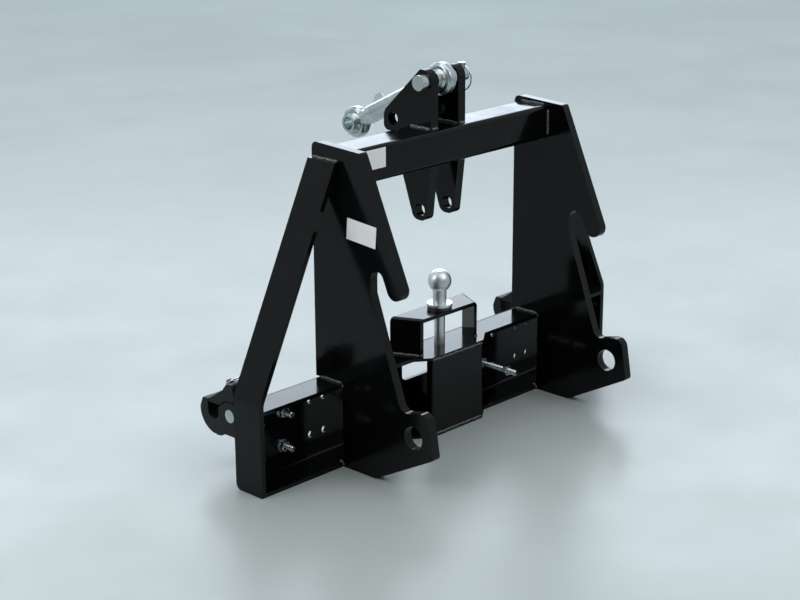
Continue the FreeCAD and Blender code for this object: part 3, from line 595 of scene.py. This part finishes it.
# Where the runs lie. Most ends stay INSET or WIDE_INSET inside an edge.
INSET, WIDE_INSET = 1, 2
FLANGE, FLANGE_RUN, FLANGE_SEAT, FLANGE_FOOT = 8, 13, 0.5, 1.5
WEB_CLEAR = 14
TUBE_CORNER = 9
BRACKET_END, BRACKET_FOOT, BRACKET_FRONT = 6, 8, 28
STAND_FRONT_X, STAND_REAR_X, STAND_REAR_INSET = 85.5, 111, 3
STAND_TOE_X = (77, 85)
TOW_PLATE_EDGE = 0.6


def bead(start, end, radius, phase):
    """A run of weld from start to end, built up in overlapping ripples."""
    start, end = Vector(start), Vector(end)
    side, other = across(start, end)
    length = (end - start).length
    count = max(BEAD_LEAST_STEPS, int(length / BEAD_STEP))
    rings = []
    for step in range(count + 1):
        share = step / count
        run = share * length
        taper = min(1.0, END_SHARE + run / SWELL, END_SHARE + (length - run) / SWELL)
        wave = (run / RIPPLE + phase) % 1.0
        size = radius * taper * (
            HOLLOW_SHARE + RIPPLE_SHARE * math.sin(math.pi * wave)
            + UNEVEN_SHARE * math.sin(run * UNEVEN_RATE + UNEVEN_PHASE * phase))
        middle = start.lerp(end, share)
        middle += side * WANDER * math.sin(run * WANDER_RATE + WANDER_PHASE * phase)
        turns = [math.tau * corner / BEAD_CORNERS for corner in range(BEAD_CORNERS)]
        rings.append([middle + around(side, other, turn) * size for turn in turns])
    return piece("run", rings, "frame", WELD)


def plate_runs(plate, beam, tube, strip):
    """A side plate's welds to the channel, the tube and the bent strip."""
    (plate_low, plate_high), (beam_low, beam_high) = plate, beam
    (tube_low, tube_high), (strip_low, strip_high) = tube, strip
    front, top = beam_low[1], beam_high[2]
    seat = FLANGE + FLANGE_SEAT
    for x in (plate_low[0], plate_high[0]):
        yield (x, front + INSET, top), (x, beam_high[1] - WEB_CLEAR, top), HEAVY
        yield (x, front, top - INSET), (x, front, top - FLANGE), LIGHT
        yield (x, front + INSET, seat), (x, front + FLANGE_RUN, seat), LIGHT
        yield (x, front, FLANGE), (x, front, FLANGE_FOOT), LIGHT
    inner = min(plate_low[0], plate_high[0], key=abs)
    outer = max(plate_low[0], plate_high[0], key=abs)
    near, far = tube_low[1] + TUBE_CORNER, tube_high[1] - TUBE_CORNER
    low, high = tube_low[2] + TUBE_CORNER, tube_high[2] - TUBE_CORNER
    yield (inner, near, tube_high[2]), (inner, far, tube_high[2]), TUBE
    yield (inner, tube_low[1], low), (inner, tube_low[1], high), TUBE
    yield (inner, tube_high[1], low), (inner, tube_high[1], high), TUBE
    yield (inner, near, tube_low[2]), (inner, far, tube_low[2]), TUBE
    yield ((outer, strip_low[1] + WIDE_INSET, strip_high[2]),
           (outer, strip_high[1] - WIDE_INSET, strip_high[2]), HEAVY)


def bracket_runs(wall, tube):
    """A bracket plate's welds round the tube."""
    (wall_low, wall_high), (tube_low, tube_high) = wall, tube
    rear = tube_high[1] - BRACKET_END
    for x in (wall_low[0], wall_high[0]):
        yield (x, wall_low[1] + WIDE_INSET, tube_high[2]), (x, rear, tube_high[2]), TUBE
        yield ((x, tube_high[1], tube_high[2] - BRACKET_END),
               (x, tube_high[1], tube_low[2] + BRACKET_FOOT), LIGHT)
        yield ((x, tube_low[1] + BRACKET_FRONT, tube_low[2]),
               (x, rear, tube_low[2]), LIGHT)
    yield ((wall_low[0] + INSET, wall_low[1], tube_high[2]),
           (wall_high[0] - INSET, wall_low[1], tube_high[2]), MEDIUM)


def stand_runs(stand, top, hand):
    """The welds of one splayed leg of the tow ball's stand to the channel."""
    stand_low, stand_high = stand
    yield ((hand * STAND_FRONT_X, stand_low[1] + WIDE_INSET, top),
           (hand * STAND_REAR_X, stand_high[1] - STAND_REAR_INSET, top), MEDIUM)
    start, end = STAND_TOE_X
    yield (hand * start, stand_low[1], top), (hand * end, stand_low[1], top), TOE


def frame_welds():
    """Fillet runs where the plates, tube, channel and strips meet."""
    beam, tube = mm_box("lower_beam"), mm_box("upper_beam")
    stand, top = mm_box("ball_bracket"), beam[1][2]
    runs = []
    for name, hand in SIDES:
        runs += plate_runs(mm_box("side_plate_" + name), beam, tube,
                           mm_box("brace_" + name))
        runs += bracket_runs(mm_box("top_bracket_" + name), tube)
        runs += stand_runs(stand, top, hand)
    tow_low, tow_high = mm_box("tow_front_plate")
    left, right = tow_low[0] + WIDE_INSET, tow_high[0] - WIDE_INSET
    y = tow_low[1] + TOW_PLATE_EDGE
    for level in (tow_low[2], tow_high[2]):
        runs.append(((left, y, level), (right, y, level), FINE))
    joined = [bead(start, end, radius, index * PHASE_STEP)
              for index, (start, end, radius) in enumerate(runs)]
    join("frame_welds", joined)


frame_welds()

# --- floor, light and camera ----------------------------------------------

FLOOR_SIZE = 30.0
AIM = Vector((0.0, 0.1095, 0.2373))
AZIMUTH, ELEVATION, ROLL = -46.11, 17.91, -0.30
DISTANCE = 3.689
LENS, SENSOR = 80.84, 36
CLIP_END = 100

ROOM_COLOUR, WALL_COLOUR = (0.2, 0.222, 0.232), (0.86, 0.94, 0.97)
WALL_START = 0.55
WORLD_STRENGTH = 0.6


def floor():
    mesh = bpy.data.meshes.new("floor")
    half = FLOOR_SIZE / 2
    corners = [(-half, -half, 0), (half, -half, 0), (half, half, 0), (-half, half, 0)]
    mesh.from_pydata(corners, [], [(0, 1, 2, 3)])
    plane = in_scene("floor", mesh)
    plane.data.materials.append(floor_paint())


def direction(azimuth, elevation):
    """The unit vector from the aim towards the eye or a lamp."""
    turn, lift = math.radians(azimuth), math.radians(elevation)
    return Vector((math.sin(turn) * math.cos(lift), -math.cos(turn) * math.cos(lift),
                   math.sin(lift)))


def camera():
    data = bpy.data.cameras.new("camera")
    data.lens = LENS
    data.sensor_width = SENSOR
    data.clip_end = CLIP_END
    eye = in_scene("camera", data)
    back = direction(AZIMUTH, ELEVATION)
    right = Vector((0, 0, 1)).cross(back).normalized()
    up = back.cross(right)
    roll = math.radians(ROLL)
    turned_right = right * math.cos(roll) + up * math.sin(roll)
    turned_up = up * math.cos(roll) - right * math.sin(roll)
    place = Matrix((turned_right, turned_up, back)).transposed().to_4x4()
    place.translation = AIM + back * DISTANCE
    eye.matrix_world = place
    bpy.context.scene.camera = eye


def lamp(name, azimuth, elevation, distance, width, height, power, colour=(1, 1, 1)):
    """A soft rectangular lamp that faces the aim."""
    data = bpy.data.lights.new(name, "AREA")
    data.color = colour
    data.shape = "RECTANGLE"
    data.size, data.size_y = width, height
    data.energy = power
    thing = in_scene(name, data)
    toward = direction(azimuth, elevation)
    thing.location = AIM + toward * distance
    thing.rotation_euler = toward.to_track_quat("Z", "Y").to_euler()


def world():
    """A bright wall behind the object, and a dimmer room on the near side."""
    made = bpy.data.worlds.new("studio")
    made.use_nodes = True
    tree = made.node_tree
    background = tree.nodes["Background"]
    place = tree.nodes.new("ShaderNodeTexCoord")
    facing = tree.nodes.new("ShaderNodeVectorMath")
    facing.operation = "DOT_PRODUCT"
    facing.inputs[1].default_value = -direction(AZIMUTH, 0)
    tree.links.new(place.outputs["Generated"], facing.inputs[0])
    ramp = tree.nodes.new("ShaderNodeValToRGB")
    room, wall = ramp.color_ramp.elements
    room.position, room.color = 0.0, (*ROOM_COLOUR, 1)
    wall.position, wall.color = WALL_START, (*WALL_COLOUR, 1)
    shift = tree.nodes.new("ShaderNodeMapRange")
    shift.inputs["From Min"].default_value = -1
    tree.links.new(facing.outputs["Value"], shift.inputs["Value"])
    tree.links.new(shift.outputs["Result"], ramp.inputs["Fac"])
    tree.links.new(ramp.outputs["Color"], background.inputs["Color"])
    background.inputs["Strength"].default_value = WORLD_STRENGTH
    bpy.context.scene.world = made


floor()
camera()
world()
lamp("ceiling", azimuth=0, elevation=88, distance=4.5, width=5.0, height=5.0, power=90)
lamp("rear_window", azimuth=134, elevation=24, distance=7.0, width=8.0, height=2.6,
     power=235, colour=(0.78, 0.88, 1.0))
lamp("left_fill", azimuth=-100, elevation=34, distance=5.0, width=3.0, height=2.0,
     power=90)
lamp("front_fill", azimuth=6, elevation=40, distance=5.0, width=3.0, height=2.0,
     power=60)

scene = bpy.context.scene
scene.view_settings.view_transform = "Standard"
